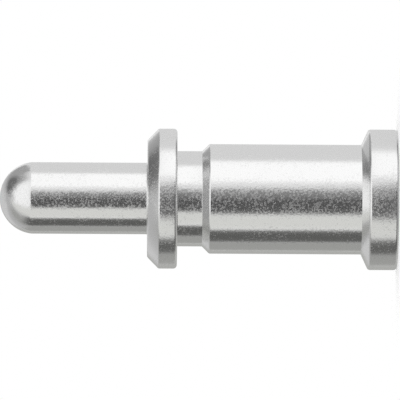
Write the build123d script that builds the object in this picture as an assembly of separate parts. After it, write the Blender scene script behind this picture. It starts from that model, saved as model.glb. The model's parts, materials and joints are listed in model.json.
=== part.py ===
from build123d import *

import os
from math import cos, radians, sin, tan
from typing import NamedTuple

# A crimp pin contact, turned from one bar and drilled from behind. Sizes are in millimetres.
# It stands on its rear face, whose centre is the origin, with the contact pin up along +Z.

# Contact pin, with a ball nose that meets the pin's side at a faint corner
PIN_DIAMETER = 6.0
PIN_LENGTH = 12.4  # from the collar's front face to the tip
NOSE_CORNER_ANGLE = 6.2  # degrees that the ball stops short of running smoothly into the side

# Collar, a disc with a coned front
COLLAR_DIAMETER = 11.75
COLLAR_LENGTH = 2.5
COLLAR_CONE_LENGTH = 0.95
COLLAR_CONE_DEPTH = 0.97  # across the axis

# Neck, the groove between the collar and the barrel
NECK_DIAMETER = 8.0
NECK_LENGTH = 2.1

# Crimp barrel, a tube that opens at the rear face and is closed towards the neck
BORE_DIAMETER = 7.0
BORE_DEPTH = 14.5  # the full width of the bore, from the rear face
BORE_MOUTH_CHAMFER = 0.5
DRILL_POINT_ANGLE = 118.0
BARREL_WALL = 1.1
BARREL_LENGTH = 13.35  # from the flange's cone to the neck
BARREL_CONE_LENGTH = 0.6  # the cone that runs down from the barrel to the neck

# Flange round the bore's mouth, with a cone that runs down to the barrel
FLANGE_DIAMETER = 11.8
FLANGE_LENGTH = 2.4
FLANGE_CONE_LENGTH = 0.6

# Roundings of the outer edges. The inner corners are square.
COLLAR_FACE_ROUNDING = 0.18
COLLAR_EDGE_ROUNDING = 0.12
COLLAR_REAR_ROUNDING = 0.25
BARREL_EDGE_ROUNDING = 0.2
FLANGE_FRONT_ROUNDING = 0.25
FLANGE_REAR_ROUNDING = 0.2

# The share of a straight run that the rounding at each of its ends may take up
ROUNDING_ROOM = 0.45

# Radii
pin_radius = PIN_DIAMETER / 2
collar_radius = COLLAR_DIAMETER / 2
collar_face_radius = collar_radius - COLLAR_CONE_DEPTH
neck_radius = NECK_DIAMETER / 2
bore_radius = BORE_DIAMETER / 2
bore_mouth_radius = bore_radius + BORE_MOUTH_CHAMFER
barrel_radius = bore_radius + BARREL_WALL
flange_radius = FLANGE_DIAMETER / 2

# Heights above the rear face
barrel_rear = FLANGE_LENGTH + FLANGE_CONE_LENGTH
barrel_front = barrel_rear + BARREL_LENGTH
collar_rear = barrel_front + NECK_LENGTH
collar_front = collar_rear + COLLAR_LENGTH
tip = collar_front + PIN_LENGTH
drill_point = BORE_DEPTH + bore_radius / tan(radians(DRILL_POINT_ANGLE / 2))

# The nose's ball, centred on the axis
nose_radius = pin_radius / cos(radians(NOSE_CORNER_ANGLE))
nose_centre = tip - nose_radius
nose_corner = nose_centre + nose_radius * sin(radians(NOSE_CORNER_ANGLE))


class Corner(NamedTuple):
    """A corner of the half-section: its distance from the axis, its height and its rounding."""

    radius: float
    height: float
    rounding: float = 0.0

    def point(self) -> Vector:
        """The corner before it is rounded, in the plane of the half-section."""
        return Vector(self.radius, self.height)


def fitted_rounding(before: Corner, corner: Corner, after: Corner) -> float:
    """The corner's own rounding, or the largest one that the runs beside it have room for."""
    run_in = corner.point() - before.point()
    run_out = after.point() - corner.point()
    room = ROUNDING_ROOM * min(run_in.length, run_out.length)
    return min(corner.rounding, room / tan(radians(run_in.get_angle(run_out) / 2)))


# The outside, from the bore's mouth forward to the nose's corner
outside = [
    Corner(bore_mouth_radius, 0),
    Corner(flange_radius, 0, FLANGE_REAR_ROUNDING),
    Corner(flange_radius, FLANGE_LENGTH, FLANGE_FRONT_ROUNDING),
    Corner(barrel_radius, barrel_rear),
    Corner(barrel_radius, barrel_front - BARREL_CONE_LENGTH, BARREL_EDGE_ROUNDING),
    Corner(neck_radius, barrel_front),
    Corner(neck_radius, collar_rear),
    Corner(collar_radius, collar_rear, COLLAR_REAR_ROUNDING),
    Corner(collar_radius, collar_front - COLLAR_CONE_LENGTH, COLLAR_EDGE_ROUNDING),
    Corner(collar_face_radius, collar_front, COLLAR_FACE_ROUNDING),
    Corner(pin_radius, collar_front),
    Corner(pin_radius, nose_corner),
]
roundings = [fitted_rounding(*three) for three in zip(outside, outside[1:], outside[2:])]

# The whole contact is one turned half-section: outside, nose, axis and drilled bore
with BuildPart() as contact:
    with BuildSketch(Plane.XZ):
        with BuildLine():
            FilletPolyline(*[corner.point() for corner in outside], radius=roundings)
            CenterArc((0, nose_centre), nose_radius, NOSE_CORNER_ANGLE, 90 - NOSE_CORNER_ANGLE)
            Polyline(
                (0, tip),
                (0, drill_point),
                (bore_radius, BORE_DEPTH),
                (bore_radius, BORE_MOUTH_CHAMFER),
                (bore_mouth_radius, 0),
            )
        make_face()
    revolve(axis=Axis.Z)

os.makedirs("parts", exist_ok=True)
export_step(contact.part, "parts/crimp_pin_contact.step")
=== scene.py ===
"""A silver plated crimp pin contact, turned from one bar, on a pale table in plain studio light.

The contact stands on its rear face at the origin, with its pin up along +Z. The camera is turned on its side,
so the picture shows the contact lying level, with its nose to the left.
"""

import json
import logging
import math
from collections.abc import Callable
from dataclasses import dataclass
from enum import Enum

import bmesh
import bpy
from mathutils import Matrix, Vector


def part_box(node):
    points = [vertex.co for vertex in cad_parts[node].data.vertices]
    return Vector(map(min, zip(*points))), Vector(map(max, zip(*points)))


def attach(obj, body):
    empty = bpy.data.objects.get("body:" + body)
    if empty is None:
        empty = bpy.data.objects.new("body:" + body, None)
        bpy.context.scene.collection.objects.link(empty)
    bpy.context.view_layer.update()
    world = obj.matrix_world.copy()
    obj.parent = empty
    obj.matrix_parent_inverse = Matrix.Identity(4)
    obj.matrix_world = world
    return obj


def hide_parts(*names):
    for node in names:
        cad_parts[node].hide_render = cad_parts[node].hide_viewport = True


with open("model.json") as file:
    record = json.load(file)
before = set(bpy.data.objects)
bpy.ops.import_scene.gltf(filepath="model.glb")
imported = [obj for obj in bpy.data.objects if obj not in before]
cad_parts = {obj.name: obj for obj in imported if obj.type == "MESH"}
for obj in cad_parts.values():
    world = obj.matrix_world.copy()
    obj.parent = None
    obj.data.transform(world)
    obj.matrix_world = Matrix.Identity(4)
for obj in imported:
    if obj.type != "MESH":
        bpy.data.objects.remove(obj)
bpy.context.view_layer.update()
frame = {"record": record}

NODE = "crimp_pin_contact"
BODY = "root"

MM = 0.001
MERGE_DISTANCE = 1e-7  # metres
CORNER_REACH = 1e-6  # metres within which a corner's vertex is found
FULL_TURN = 360.0  # degrees
CAMERA_SIDE = -90.0  # degrees about the axis, from +X to the side that the camera looks at
X_AXIS = Vector((1, 0, 0))
Z_AXIS = Vector((0, 0, 1))
ACROSS = (1, 1, 0)  # times a vector, leaves its part across the contact's axis

NOISE_MIDDLE = 0.5
WHITE = (1.0, 1.0, 1.0, 1.0)
WARM_WHITE = (0.995, 1.0, 0.965, 1.0)

log = logging.getLogger("scene")


class Signal:
    """A number that varies over a surface, kept as a socket, with arithmetic that adds Math nodes."""

    def __init__(self, nodes: "Nodes", socket: bpy.types.NodeSocket) -> None:
        """Wraps a socket.

        Args:
            nodes: the tree that the socket is in.
            socket: an output that gives one number.
        """
        self.nodes = nodes
        self.socket = socket

    def math(self, operation: str, *others: "Signal | float") -> "Signal":
        """Feeds the signal and the others, in that order, to a Math node."""
        return self.nodes.math(operation, self, *others)

    def __add__(self, other: "Signal | float") -> "Signal":
        """self + other."""
        return self.math("ADD", other)

    __radd__ = __add__

    def __mul__(self, other: "Signal | float") -> "Signal":
        """self * other."""
        return self.math("MULTIPLY", other)

    __rmul__ = __mul__

    def __sub__(self, other: "Signal | float") -> "Signal":
        """self - other."""
        return self.math("SUBTRACT", other)

    def __rsub__(self, other: float) -> "Signal":
        """other - self."""
        return self.nodes.math("SUBTRACT", other, self)

    def __truediv__(self, other: "Signal | float") -> "Signal":
        """self / other."""
        return self.math("DIVIDE", other)

    def __rtruediv__(self, other: float) -> "Signal":
        """other / self."""
        return self.nodes.math("DIVIDE", other, self)

    def __abs__(self) -> "Signal":
        """The signal without its sign."""
        return self.math("ABSOLUTE")

    def __or__(self, other: "Signal") -> "Signal":
        """The larger of the two signals."""
        return self.math("MAXIMUM", other)


class Nodes:
    """The node tree of a material or of the world, with one method that adds any node."""

    def __init__(self, owner: bpy.types.Material | bpy.types.World) -> None:
        """Takes over the owner's node tree and clears it.

        Args:
            owner: the material or the world.
        """
        owner.use_nodes = True
        self.tree = owner.node_tree
        self.tree.nodes.clear()

    def add(self, kind: str, settings: dict | None = None, inputs: dict | None = None) -> bpy.types.Node:
        """Adds a node.

        Args:
            kind: the node's type.
            settings: its properties, set before its sockets.
            inputs: values, signals or sockets for its inputs, by name or number.

        Returns:
            The new node.
        """
        node = self.tree.nodes.new(kind)
        for name, value in (settings or {}).items():
            setattr(node, name, value)
        for name, value in (inputs or {}).items():
            source = value.socket if isinstance(value, Signal) else value
            if isinstance(source, bpy.types.NodeSocket):
                self.tree.links.new(source, node.inputs[name])
            else:
                node.inputs[name].default_value = source
        return node

    def math(self, operation: str, *values: Signal | float) -> Signal:
        """Adds a Math node that works on the values, and returns what it gives."""
        node = self.add("ShaderNodeMath", {"operation": operation}, dict(enumerate(values)))
        return Signal(self, node.outputs[0])

    def signal(self, node: bpy.types.Node, output: str | int = 0) -> Signal:
        """The named output of a node, as a signal."""
        return Signal(self, node.outputs[output])

    def place(self) -> bpy.types.NodeSocket:
        """The place on the piece, in Object coordinates."""
        return self.add("ShaderNodeTexCoord").outputs["Object"]

    def parts(self, vector: bpy.types.NodeSocket) -> list[Signal]:
        """The X, Y and Z of a vector."""
        split = self.add("ShaderNodeSeparateXYZ", inputs={0: vector})
        return [self.signal(split, axis) for axis in "XYZ"]

    def length(self, vector: bpy.types.NodeSocket) -> Signal:
        """The length of a vector."""
        return self.signal(self.add("ShaderNodeVectorMath", {"operation": "LENGTH"}, {0: vector}), "Value")

    def noise(self, place: bpy.types.NodeSocket, size: float, detail: float = 0.0) -> Signal:
        """Smooth noise about NOISE_MIDDLE.

        Args:
            place: the coordinates that it is read at.
            size: how large its features are, in metres.
            detail: how many finer layers are added.

        Returns:
            The noise.
        """
        inputs = {"Vector": place, "Scale": 1 / size, "Detail": detail}
        return self.signal(self.add("ShaderNodeTexNoise", inputs=inputs))

    def ramp(self, value: Signal, start: float, end: float, first: float = 0.0, last: float = 1.0) -> Signal:
        """An S-shaped ramp.

        Args:
            value: what it follows.
            start: the value where it begins.
            end: the value where it ends.
            first: what it gives up to its start.
            last: what it gives past its end.

        Returns:
            The ramp's own value.
        """
        ends = {"From Min": start, "From Max": end, "To Min": first, "To Max": last}
        settings = {"interpolation_type": "SMOOTHSTEP"}
        return self.signal(self.add("ShaderNodeMapRange", settings, {"Value": value, **ends}))

    def seen_directly(self) -> Signal:
        """Tells the rays that show a surface from those that only carry its light to another one.

        Returns:
            1 for rays of the camera, of a reflection or through glass, and 0 for the others.
        """
        path = self.add("ShaderNodeLightPath")
        names = ("Is Camera Ray", "Is Glossy Ray", "Is Transmission Ray")
        camera, glossy, transmission = (self.signal(path, name) for name in names)
        return camera | glossy | transmission

    def mix(self, share: Signal, first: bpy.types.Node, second: bpy.types.Node) -> bpy.types.Node:
        """Mixes two shaders: all of the first where the share is 0, and all of the second where it is 1."""
        return self.add("ShaderNodeMixShader", inputs={0: share, 1: first.outputs[0], 2: second.outputs[0]})

    def surface(self, shader: bpy.types.Node, kind: str = "ShaderNodeOutputMaterial") -> None:
        """Feeds the finished shader to an output node of the given type."""
        self.add(kind, inputs={"Surface": shader.outputs[0]})


@dataclass(frozen=True)
class SilverPlate:
    """Silver plate on a turned and tumbled surface: smooth metal, close-set dull specks and a shallow grain.

    The specks and the grain are strongest on the side that faces the camera and on the opposite one, and the
    metal between them is calm. A place's angle round the axis, from the camera's side, is given by its sine.
    """

    colour: tuple[float, float, float] = (0.965, 0.965, 0.964)
    smooth_roughness: float = 0.17
    speck_roughness: float = 0.31
    speck_size: float = 0.15 * MM
    speck_limits: tuple[float, float] = (0.45, 0.62)  # of the noise, from smooth metal to a full speck
    patch_size: float = 1.0 * MM  # of the loose clusters of specks
    patch_detail: float = 1.0
    patch_strength: float = 0.5
    grain_height: float = 0.006 * MM
    rough_middle: float = 0.045  # sine where the specks are closest
    rough_reach: tuple[float, float] = (0.22, 0.41)  # how far from it they start to thin out, and stop
    calm_specks: float = 0.15  # taken off the noise where the metal is calm
    calm_grain: float = 0.5  # share of the grain's height that is left there
    land_radii: tuple[float, float] = (5.0 * MM, 5.7 * MM)  # the collar's and flange's sides lie past them
    land_roughness: float = 0.055  # added on those sides, which are duller

    def material(self) -> bpy.types.Material:
        """Makes the material, with all its patterns on Object coordinates.

        Returns:
            The material.
        """
        material = bpy.data.materials.new("silver_plate_finish")
        nodes = Nodes(material)
        place = nodes.place()
        across = nodes.add("ShaderNodeVectorMath", {"operation": "MULTIPLY"}, {0: place, 1: ACROSS})
        radius = nodes.length(across.outputs[0])
        sine = nodes.parts(place)[0] / radius
        aside = abs(sine - self.rough_middle)
        grain = nodes.noise(place, self.speck_size)
        patches = nodes.noise(place, self.patch_size, self.patch_detail) - NOISE_MIDDLE
        fewer = nodes.ramp(aside, *self.rough_reach, 0.0, self.calm_specks)
        specks = grain + patches * self.patch_strength - fewer
        roughness = nodes.ramp(specks, *self.speck_limits, self.smooth_roughness, self.speck_roughness)
        roughness = roughness + nodes.ramp(radius, *self.land_radii, 0.0, self.land_roughness)
        relief = grain * nodes.ramp(aside, *self.rough_reach, 1.0, self.calm_grain) * self.grain_height
        bump = nodes.add("ShaderNodeBump", inputs={"Height": relief, "Distance": 1.0})
        metal = {
            "Base Color": (*self.colour, 1),
            "Metallic": 1.0,
            "Roughness": roughness,
            "Normal": bump.outputs[0],
        }
        nodes.surface(nodes.add("ShaderNodeBsdfPrincipled", inputs=metal))
        return material


@dataclass(frozen=True)
class Corner:
    """A corner of the half-section: its distance from the axis, its height and its rounding, in metres."""

    radius: float
    height: float
    rounding: float = 0.0

    @property
    def place(self) -> Vector:
        """The corner in the plane of the half-section, which is the XZ plane."""
        return Vector((self.radius, 0, self.height))


@dataclass
class TurnedContact:
    """The contact, spun from one half-section. Sizes are in metres and heights are above the rear face."""

    # Sizes and heights that the frame gives
    pin_radius: float
    neck_radius: float
    bore_radius: float
    flange_radius: float
    tip: float
    collar_front: float
    collar_rear: float
    barrel_front: float
    finish: SilverPlate

    # Sizes that the frame doesn't give
    nose_corner_angle: float = 6.2  # degrees that the ball stops short of running smoothly into the side
    collar_radius: float = 5.875 * MM
    collar_cone_length: float = 0.95 * MM
    collar_cone_depth: float = 0.97 * MM  # across the axis
    barrel_wall: float = 1.1 * MM
    barrel_cone_length: float = 0.6 * MM
    flange_length: float = 2.4 * MM
    flange_cone_length: float = 0.6 * MM
    bore_depth: float = 14.5 * MM  # the full width of the bore, from the rear face
    bore_mouth_chamfer: float = 0.5 * MM
    drill_point_angle: float = 118.0  # degrees

    # Roundings of the outer edges, the inner corners and the bore's mouth
    collar_face_rounding: float = 0.3 * MM
    collar_edge_rounding: float = 0.19 * MM
    collar_rear_rounding: float = 0.3 * MM
    barrel_edge_rounding: float = 0.2 * MM
    flange_front_rounding: float = 0.25 * MM
    flange_rear_rounding: float = 0.25 * MM
    pin_root_rounding: float = 0.08 * MM
    root_rounding: float = 0.05 * MM
    mouth_rounding: float = 0.05 * MM

    # How fine the mesh is, and how far two faces turn before the edge between them is sharp
    nose_steps: int = 240  # round a whole circle
    rounding_steps: int = 6
    turning_steps: int = 256
    sharp_angle: float = 25.0  # degrees

    @property
    def nose_radius(self) -> float:
        """The radius of the ball at the nose, which meets the pin's side at a faint corner."""
        return self.pin_radius / math.cos(math.radians(self.nose_corner_angle))

    @property
    def nose_corner(self) -> float:
        """The height at which the ball starts."""
        return self.tip - self.nose_radius * (1 - math.sin(math.radians(self.nose_corner_angle)))

    def corners(self) -> list[Corner]:
        """Lists the corners of the half-section.

        Returns:
            The corners, from the foot of the ball back to the rear face, and up the bore to the axis.
        """
        root = self.root_rounding
        mouth = self.mouth_rounding
        collar_face_radius = self.collar_radius - self.collar_cone_depth
        collar_edge = self.collar_front - self.collar_cone_length
        barrel_radius = self.bore_radius + self.barrel_wall
        barrel_edge = self.barrel_front - self.barrel_cone_length
        barrel_rear = self.flange_length + self.flange_cone_length
        mouth_radius = self.bore_radius + self.bore_mouth_chamfer
        drill_point = self.bore_depth + self.bore_radius / math.tan(math.radians(self.drill_point_angle / 2))
        return [
            Corner(self.pin_radius, self.nose_corner),
            Corner(self.pin_radius, self.collar_front, self.pin_root_rounding),
            Corner(collar_face_radius, self.collar_front, self.collar_face_rounding),
            Corner(self.collar_radius, collar_edge, self.collar_edge_rounding),
            Corner(self.collar_radius, self.collar_rear, self.collar_rear_rounding),
            Corner(self.neck_radius, self.collar_rear, root),
            Corner(self.neck_radius, self.barrel_front, root),
            Corner(barrel_radius, barrel_edge, self.barrel_edge_rounding),
            Corner(barrel_radius, barrel_rear, root),
            Corner(self.flange_radius, self.flange_length, self.flange_front_rounding),
            Corner(self.flange_radius, 0, self.flange_rear_rounding),
            Corner(mouth_radius, 0, mouth),
            Corner(self.bore_radius, self.bore_mouth_chamfer, mouth),
            Corner(self.bore_radius, self.bore_depth),
            Corner(0, drill_point),
        ]

    def build(self) -> bpy.types.Object:
        """Models the contact as one closed mesh and dresses it.

        Returns:
            The contact.
        """
        ball_centre = self.tip - self.nose_radius
        piece = arc("turned_contact", self.nose_radius, ball_centre, self.nose_corner, None, self.nose_steps)
        self.draw_half_section(piece)
        spin_about_z(FULL_TURN, self.turning_steps)
        bpy.ops.mesh.normals_make_consistent(inside=False)
        bpy.ops.object.mode_set(mode="OBJECT")
        bpy.ops.object.shade_smooth_by_angle(angle=math.radians(self.sharp_angle))
        piece.modifiers.new("even_normals", "WEIGHTED_NORMAL").keep_sharp = True
        bpy.ops.object.modifier_apply(modifier="even_normals")
        piece.data.materials.append(self.finish.material())
        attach(piece, BODY)
        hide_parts(NODE)
        return piece

    def draw_half_section(self, piece: bpy.types.Object) -> None:
        """Draws the half-section on from the foot of the ball, then rounds its corners.

        Args:
            piece: the arc of the ball, in edit mode.
        """
        corners = self.corners()
        select(piece, lambda place: place.z < self.nose_corner + MERGE_DISTANCE)
        for corner, following in zip(corners, corners[1:]):
            step = following.place - corner.place
            bpy.ops.mesh.extrude_region_move(TRANSFORM_OT_translate={"value": step})
        for before, corner, after in zip(corners, corners[1:], corners[2:]):
            if corner.rounding:
                turn = (corner.place - before.place).angle(after.place - corner.place)
                select(piece, lambda place: (place - corner.place).length < CORNER_REACH)
                bpy.ops.mesh.bevel(
                    affect="VERTICES",
                    offset=corner.rounding * math.tan(turn / 2),
                    segments=self.rounding_steps,
                )


def select(piece: bpy.types.Object, wanted: Callable[[Vector], bool]) -> None:
    """Selects the vertices of a piece in edit mode.

    Args:
        piece: the piece that is being edited.
        wanted: says of a place whether a vertex there is selected.
    """
    mesh = bmesh.from_edit_mesh(piece.data)
    for vertex in mesh.verts:
        vertex.select_set(wanted(vertex.co))
    mesh.select_flush_mode()
    bmesh.update_edit_mesh(piece.data)


def arc(
    name: str, radius: float, centre_height: float, low: float, high: float | None, steps: int
) -> bpy.types.Object:
    """Cuts an arc from an upright circle on the axis, on the +X side, and leaves it in edit mode.

    Args:
        name: the new object's name.
        radius: the circle's radius.
        centre_height: the height of its centre.
        low: the height of the arc's lower end.
        high: the height of its upper end, or None for an arc that ends on the axis.
        steps: how many edges the whole circle has.

    Returns:
        The object that holds the arc.
    """
    bpy.ops.object.select_all(action="DESELECT")
    bpy.ops.mesh.primitive_circle_add(
        vertices=steps, radius=radius, location=(0, 0, centre_height), rotation=(math.pi / 2, 0, 0)
    )
    piece = bpy.context.object
    piece.name = piece.data.name = name
    bpy.ops.object.transform_apply(location=True, rotation=True, scale=True)
    bpy.ops.object.mode_set(mode="EDIT")
    cuts = [((0, 0, low), Z_AXIS), ((0, 0, 0), X_AXIS)]
    if high is not None:
        cuts.append(((0, 0, high), -Z_AXIS))
    for place, kept_side in cuts:
        bpy.ops.mesh.select_all(action="SELECT")
        bpy.ops.mesh.bisect(plane_co=place, plane_no=kept_side, clear_inner=True, threshold=MERGE_DISTANCE)
    return piece


def spin_about_z(turn: float, steps: int) -> None:
    """Spins all of the piece in edit mode about the contact's axis, and closes its seam and its poles.

    Args:
        turn: how far it goes round, in degrees.
        steps: how many faces it makes on the way.
    """
    bpy.ops.mesh.select_all(action="SELECT")
    bpy.ops.mesh.spin(
        steps=steps, angle=math.radians(turn), center=(0, 0, 0), axis=Z_AXIS, use_auto_merge=True
    )
    bpy.ops.mesh.select_all(action="SELECT")
    bpy.ops.mesh.remove_doubles(threshold=MERGE_DISTANCE)


class Tone(Enum):
    """How light a studio panel looks, where the white room behind the panels is 1."""

    LIGHT = 0.9
    HAZE = 0.75
    PALE = 0.65
    SOFT = 0.57
    MIDDLE = 0.42
    DIM = 0.33
    DUSK = 0.2
    SHADE = 0.13
    DEEP = 0.1
    DARK = 0.07


@dataclass(frozen=True)
class Panel:
    """A curved panel round the contact, which shows only in reflections.

    Its sides are angles about the contact's axis, in degrees from the camera towards the picture's top. Its
    ends are angles from the level plane towards the picture's left. The edges fade away over the angles in
    blur, first at the sides and then at the ends. The glow is the colour, as strong as the tone says.
    """

    name: str
    tone: Tone
    sides: tuple[float, float]
    ends: tuple[float, float]
    blur: tuple[float, float]
    colour: tuple[float, float, float, float] = WHITE
    circle_steps: int = 180  # round a whole circle through both ends
    facet: float = 3.0  # degrees about the axis
    steepest: float = 89.0  # degrees, so that the mesh stops short of the axis

    def build(self, radius: float, centre_height: float) -> bpy.types.Object:
        """Models the panel.

        Args:
            radius: its distance from the middle of the contact.
            centre_height: the height of that middle.

        Returns:
            The panel.
        """
        turn = min(FULL_TURN, self.sides[1] - self.sides[0] + self.blur[0])
        low = max(-self.steepest, self.ends[0] - self.blur[1] / 2)
        high = min(self.steepest, self.ends[1] + self.blur[1] / 2)
        heights = [radius * math.sin(math.radians(angle)) for angle in (low, high)]
        piece = arc(self.name, radius, 0, *heights, self.circle_steps)
        spin_about_z(turn, round(turn / self.facet))
        bpy.ops.object.mode_set(mode="OBJECT")
        piece.data.transform(Matrix.Rotation(math.radians(turn / 2), 4, "Z"))
        piece.data.materials.append(self.material())
        piece.location.z = centre_height
        piece.rotation_euler.z = math.radians(sum(self.sides) / 2 + CAMERA_SIDE)
        piece.visible_camera = piece.visible_diffuse = piece.visible_shadow = False
        return piece

    def material(self) -> bpy.types.Material:
        """Makes a plain glow that fades away at the panel's edges.

        Returns:
            The material.
        """
        material = bpy.data.materials.new(self.name)
        nodes = Nodes(material)
        ahead = nodes.add("ShaderNodeVectorMath", {"operation": "NORMALIZE"}, {0: nodes.place()})
        x, y, z = nodes.parts(ahead.outputs[0])
        middle = math.radians(sum(self.ends) / 2)
        mask = self.inside(nodes, z.math("ARCSINE") - middle, self.ends, self.blur[1])
        if self.sides[1] - self.sides[0] < FULL_TURN:
            mask = mask * self.inside(nodes, y.math("ARCTAN2", x), self.sides, self.blur[0])
        glow = nodes.add("ShaderNodeEmission", inputs={"Color": self.colour, "Strength": self.tone.value})
        nodes.surface(nodes.mix(mask, nodes.add("ShaderNodeBsdfTransparent"), glow))
        return material

    @staticmethod
    def inside(nodes: Nodes, angle: Signal, limits: tuple[float, float], blur: float) -> Signal:
        """Tells the places within two limits from those outside them.

        Args:
            nodes: the tree that gets the nodes.
            angle: the angle from the middle of the limits, in radians.
            limits: the two limits, in degrees.
            blur: over how many degrees it changes at each limit.

        Returns:
            1 within the limits and 0 outside them.
        """
        half = (limits[1] - limits[0]) / 2
        edge = (math.radians(half - blur / 2), math.radians(half + blur / 2))
        return nodes.ramp(abs(angle), *edge, 1.0, 0.0)


@dataclass
class Studio:
    """The table, the lamp, the white room and the panels that the plate reflects. Sizes are in metres."""

    middle_height: float
    panel_distance: float = 0.9  # of the farthest panel
    panel_spacing: float = 10 * MM
    table_radius: float = 14 * MM
    table_solid_radius: float = 6.5 * MM  # the table top fades away from here to its edge
    table_steps: int = 128
    table_colour: float = 0.8
    table_glow: float = 0.3
    room_light: float = 0.4  # what it sheds on a surface, where the room itself is seen as 1
    lamp_strength: float = 1.8
    lamp_tilt: float = 25.0  # degrees from straight overhead towards the rear
    lamp_size: float = 60.0  # degrees across

    # Each panel stands nearer than those before it, and covers them
    panels: tuple[Panel, ...] = (
        Panel("left_end", Tone.MIDDLE, (-180, 180), (16, 90), (0, 8)),
        Panel("right_end", Tone.DIM, (-180, 180), (-90, -48), (0, 16)),
        Panel("rear_left", Tone.SOFT, (163, 222), (20, 68), (24, 12)),
        Panel("window_end", Tone.HAZE, (44, 104), (6, 60), (12, 8)),
        Panel("top_left", Tone.DIM, (64, 118), (22, 110), (20, 32)),
        Panel("top_back", Tone.DIM, (98, 152), (10, 110), (14, 8)),
        Panel("top_corner", Tone.SHADE, (81, 143), (42, 78), (20, 14)),
        Panel("top_rear", Tone.PALE, (87, 180), (-70, 10), (10, 8)),
        Panel("top_right", Tone.DUSK, (108, 155), (-60, -32), (16, 8)),
        Panel("low_rear", Tone.DIM, (-139, -103), (-32, 18), (8, 8), WARM_WHITE),
        Panel("low_far", Tone.MIDDLE, (-180, -139), (-32, 18), (8, 8), WARM_WHITE),
        Panel("low_right", Tone.MIDDLE, (-180, -90), (-70, -32), (8, 8), WARM_WHITE),
        Panel("low_shade", Tone.DIM, (-112, -78), (20, 66), (16, 16), WARM_WHITE),
        Panel("low_front", Tone.PALE, (-66, -32), (-40, 80), (16, 12), WARM_WHITE),
        Panel("low_gap", Tone.DEEP, (-103, -68), (-32, 26), (8, 24), WARM_WHITE),
        Panel("right_low", Tone.DARK, (-112, -28), (-50, -26), (10, 12), WARM_WHITE),
        Panel("left_front", Tone.LIGHT, (-34, 54), (15, 74), (20, 18)),
        Panel("right_front", Tone.DARK, (-32, 30), (-50, -12), (8, 8)),
        Panel("window_foot", Tone.HAZE, (18, 36), (-12, 12), (10, 6)),
        Panel("camera_upper", Tone.DUSK, (-2, 21), (-12, 11), (10, 6)),
        Panel("camera_side", Tone.DARK, (-32, 3), (-12, 11), (10, 6)),
    )

    def build(self) -> list[bpy.types.Object]:
        """Sets up the whole studio.

        Returns:
            The table and the panels.
        """
        self.light_room()
        self.add_lamp()
        pieces = [self.build_table()]
        for number, panel in enumerate(self.panels):
            distance = self.panel_distance - number * self.panel_spacing
            pieces.append(panel.build(distance, self.middle_height))
        return pieces

    def light_room(self) -> None:
        """Makes the world white where it is seen, and a plain soft light elsewhere."""
        world = bpy.data.worlds.new("white_room")
        nodes = Nodes(world)
        strength = self.room_light + (1 - self.room_light) * nodes.seen_directly()
        room = nodes.add("ShaderNodeBackground", inputs={"Color": WHITE, "Strength": strength})
        nodes.surface(room, "ShaderNodeOutputWorld")
        bpy.context.scene.world = world

    def add_lamp(self) -> None:
        """Adds a broad soft lamp behind the contact, so that its shadow falls to the camera's side."""
        bpy.ops.object.select_all(action="DESELECT")
        bpy.ops.object.light_add(type="SUN", rotation=(-math.radians(self.lamp_tilt), 0, 0))
        lamp = bpy.context.object
        lamp.name = "rear_lamp"
        lamp.data.energy = self.lamp_strength
        lamp.data.angle = math.radians(self.lamp_size)
        lamp.visible_glossy = False

    def build_table(self) -> bpy.types.Object:
        """Makes a small round table top under the contact, white where it isn't in shadow.

        Returns:
            The table.
        """
        bpy.ops.object.select_all(action="DESELECT")
        bpy.ops.mesh.primitive_circle_add(
            vertices=self.table_steps, radius=self.table_radius, fill_type="NGON"
        )
        table = bpy.context.object
        table.name = table.data.name = "table"
        table.data.materials.append(self.table_material())
        table.visible_glossy = False
        return table

    def table_material(self) -> bpy.types.Material:
        """Makes a matt white that glows a little where it is seen and fades away towards the table's edge.

        Returns:
            The material.
        """
        material = bpy.data.materials.new("table_white")
        nodes = Nodes(material)
        grey = (self.table_colour,) * 3
        matt = nodes.add("ShaderNodeBsdfDiffuse", inputs={"Color": (*grey, 1)})
        glow = nodes.add("ShaderNodeEmission", inputs={"Strength": self.table_glow * nodes.seen_directly()})
        white = nodes.add("ShaderNodeAddShader", inputs={0: matt.outputs[0], 1: glow.outputs[0]})
        fade = nodes.ramp(nodes.length(nodes.place()), self.table_solid_radius, self.table_radius)
        nodes.surface(nodes.mix(fade, white, nodes.add("ShaderNodeBsdfTransparent")))
        return material


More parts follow.
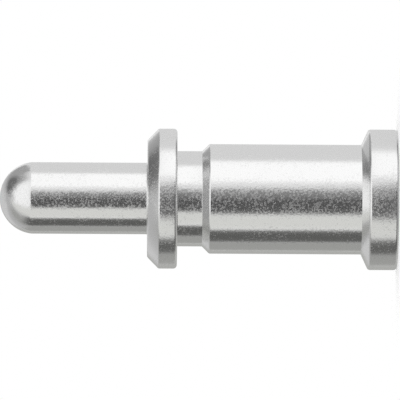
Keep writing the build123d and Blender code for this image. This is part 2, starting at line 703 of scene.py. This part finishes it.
@dataclass(frozen=True)
class PhotoView:
    """The photograph's view: where it shows the contact in its frame, in pixels, and from how far."""

    length: float  # of the contact, in metres
    frame_pixels: float = 400
    tip_x: float = -0.3
    rear_x: float = 396.7
    axis_y: float = 198.8
    camera_x: float = 125.0  # which point of the axis the camera stands square in front of
    axis_slope: float = 0.33  # degrees, down to the right
    distance: float = 600 * MM
    sensor: float = 36.0  # millimetres
    nearest: float = 10 * MM  # the camera sees what is between these two
    farthest: float = 10.0  # metres

    def add_camera(self) -> None:
        """Makes the camera. It looks along +Y, with the picture's top along +X and its left along +Z."""
        pixel = self.length / (self.rear_x - self.tip_x)
        half_frame = self.frame_pixels / 2
        aside = (self.axis_y - half_frame) * pixel
        target = Vector((aside, 0, (self.rear_x - half_frame) * pixel))
        place = Vector((aside, -self.distance, (self.rear_x - self.camera_x) * pixel))
        bpy.ops.object.select_all(action="DESELECT")
        bpy.ops.object.camera_add(location=place)
        camera = bpy.context.object
        camera.name = "photo_camera"
        back = (place - target).normalized()
        up = Matrix.Rotation(math.radians(self.axis_slope), 3, back) @ X_AXIS
        axes = Matrix((up.cross(back), up, back)).transposed()
        camera.matrix_world = Matrix.Translation(place) @ axes.to_4x4()
        camera.data.sensor_width = self.sensor
        camera.data.lens = self.sensor * self.distance / (self.frame_pixels * pixel)
        camera.data.clip_start = self.nearest
        camera.data.clip_end = self.farthest
        bpy.context.scene.camera = camera


def report(piece: bpy.types.Object) -> None:
    """Logs a piece's name and how many faces it has."""
    log.info("%s: %d faces", piece.name, len(piece.data.polygons))


def main() -> None:
    logging.basicConfig(level=logging.INFO, format="%(message)s")
    bpy.context.scene.view_settings.view_transform = "Standard"
    mounts = {mount["name"]: mount for mount in frame["record"]["mounts"]}
    neck = mounts["retention_neck"]
    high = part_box(NODE)[1]
    contact = TurnedContact(
        pin_radius=mounts["contact_pin"]["dims"]["r_mm"] * MM,
        neck_radius=neck["dims"]["r_mm"] * MM,
        bore_radius=mounts["wire_bore"]["dims"]["r_mm"] * MM,
        flange_radius=high.x,
        tip=high.z,
        collar_front=mounts["collar_front"]["pos_m"][2],
        collar_rear=mounts["collar_rear"]["pos_m"][2],
        barrel_front=neck["pos_m"][2] - neck["dims"]["length_mm"] * MM / 2,
        finish=SilverPlate(),
    )
    report(contact.build())
    for piece in Studio(middle_height=high.z / 2).build():
        report(piece)
    PhotoView(length=high.z).add_camera()


if __name__ == "__main__":
    main()
